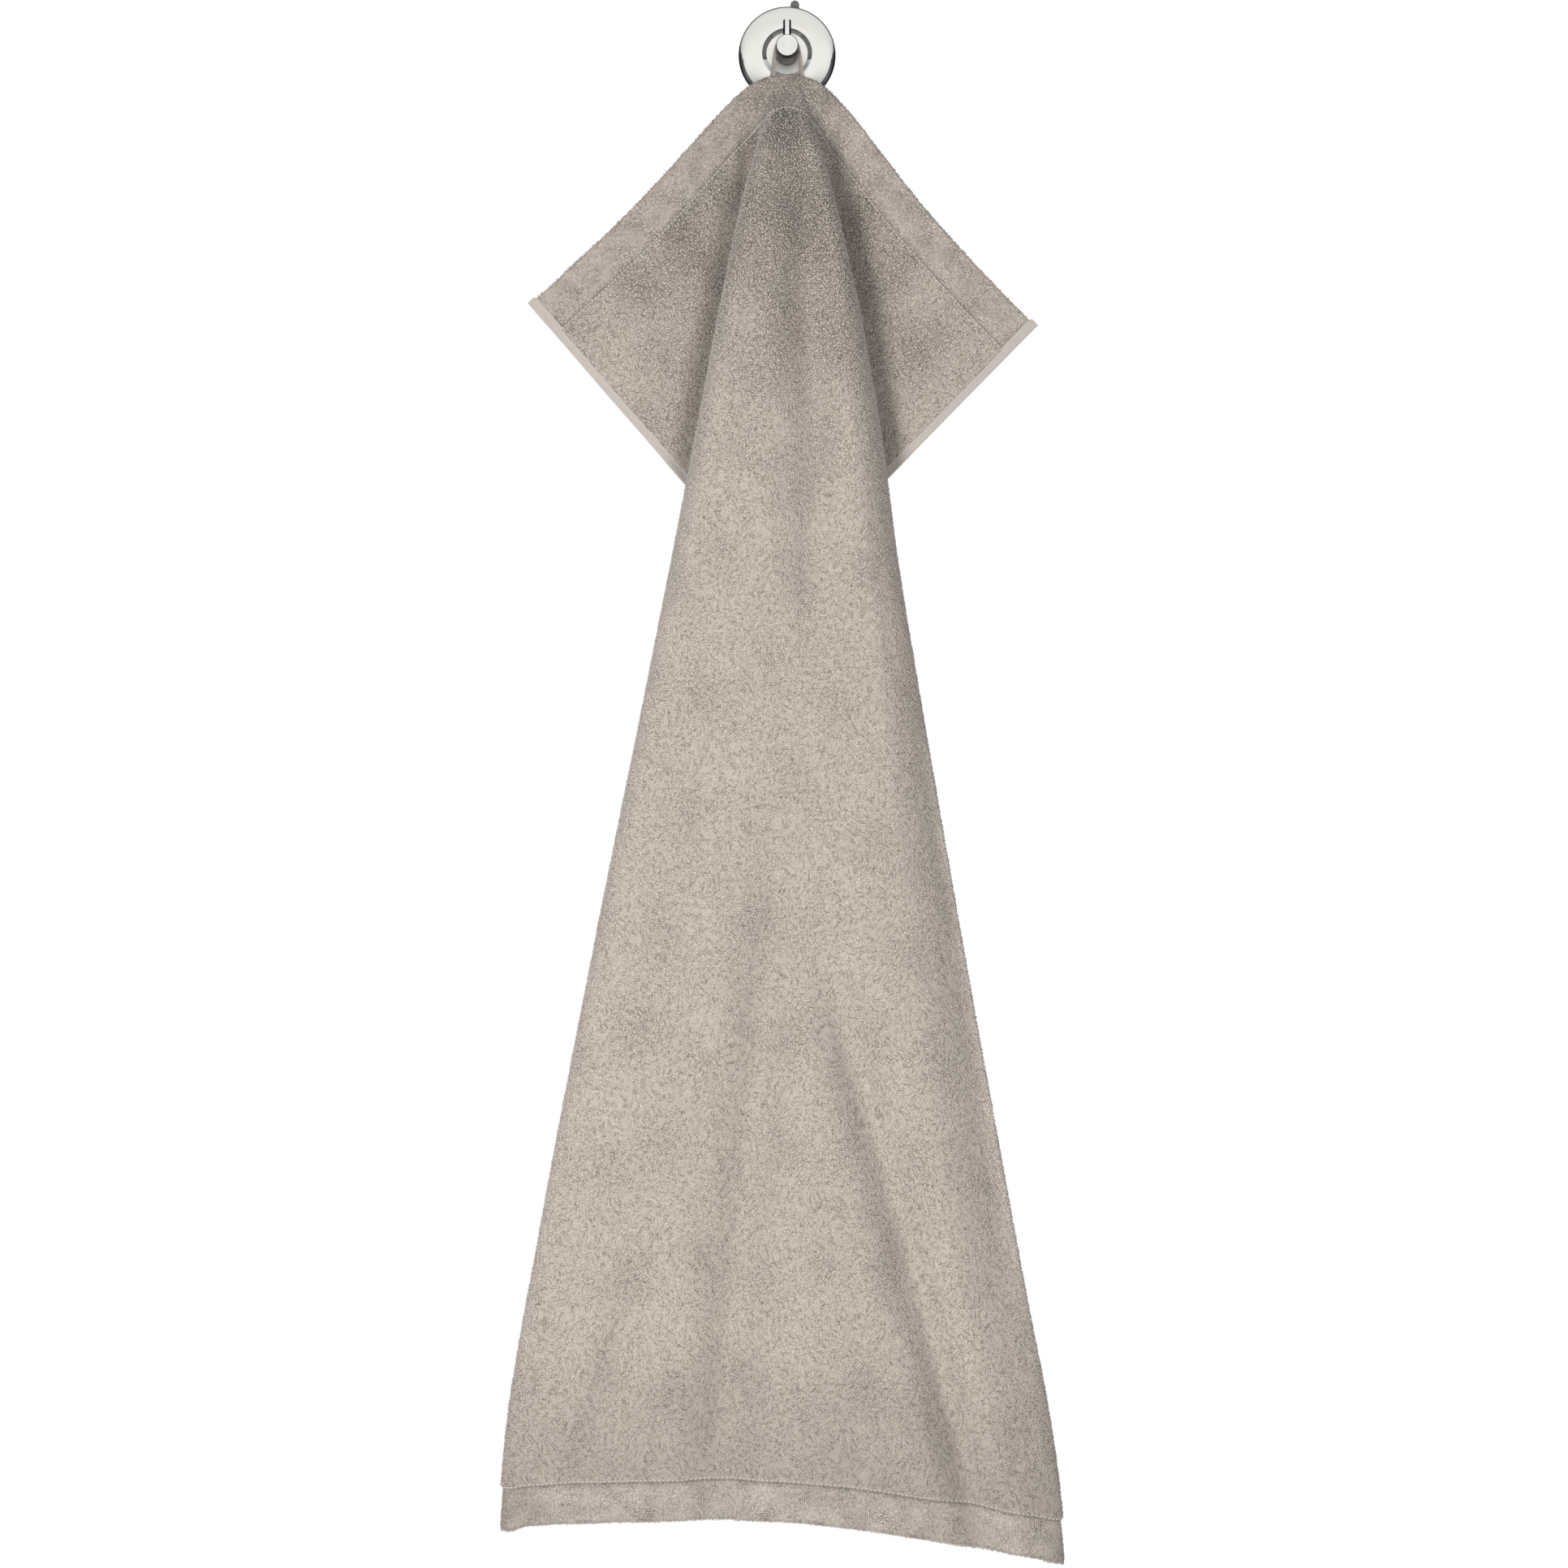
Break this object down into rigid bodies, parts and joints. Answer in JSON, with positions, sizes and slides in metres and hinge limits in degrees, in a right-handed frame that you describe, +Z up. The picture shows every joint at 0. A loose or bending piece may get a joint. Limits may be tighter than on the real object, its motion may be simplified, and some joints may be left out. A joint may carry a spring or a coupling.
{
  "type": "hand towel on a wall hook",
  "caption": "Terry hand towel hanging in soft folds by its tape loop from the peg of a round suction-cup wall hook.",
  "frame": {"origin": "centre of the suction cup's flat back, on the wall", "axes": "+Z up, +X to the right seen from the front, -Y towards the viewer, away from the wall"},
  "size_m": [0.3927, 0.0685, 1.0807],
  "materials": {
    "rubber": "matt grey rubber",
    "brushed_steel": "circular brushed stainless steel",
    "polished_steel": "polished stainless steel",
    "cotton_tape": "ribbed cotton tape",
    "terry": "warm grey cotton terry with looped pile and flat hems"
  },
  "bodies": {
    "root": {"suction_cup": "rubber", "cover": "brushed_steel", "peg": "brushed_steel", "pin": "polished_steel", "hanging_loop": "cotton_tape", "towel": "terry"}
  },
  "joints": []
}
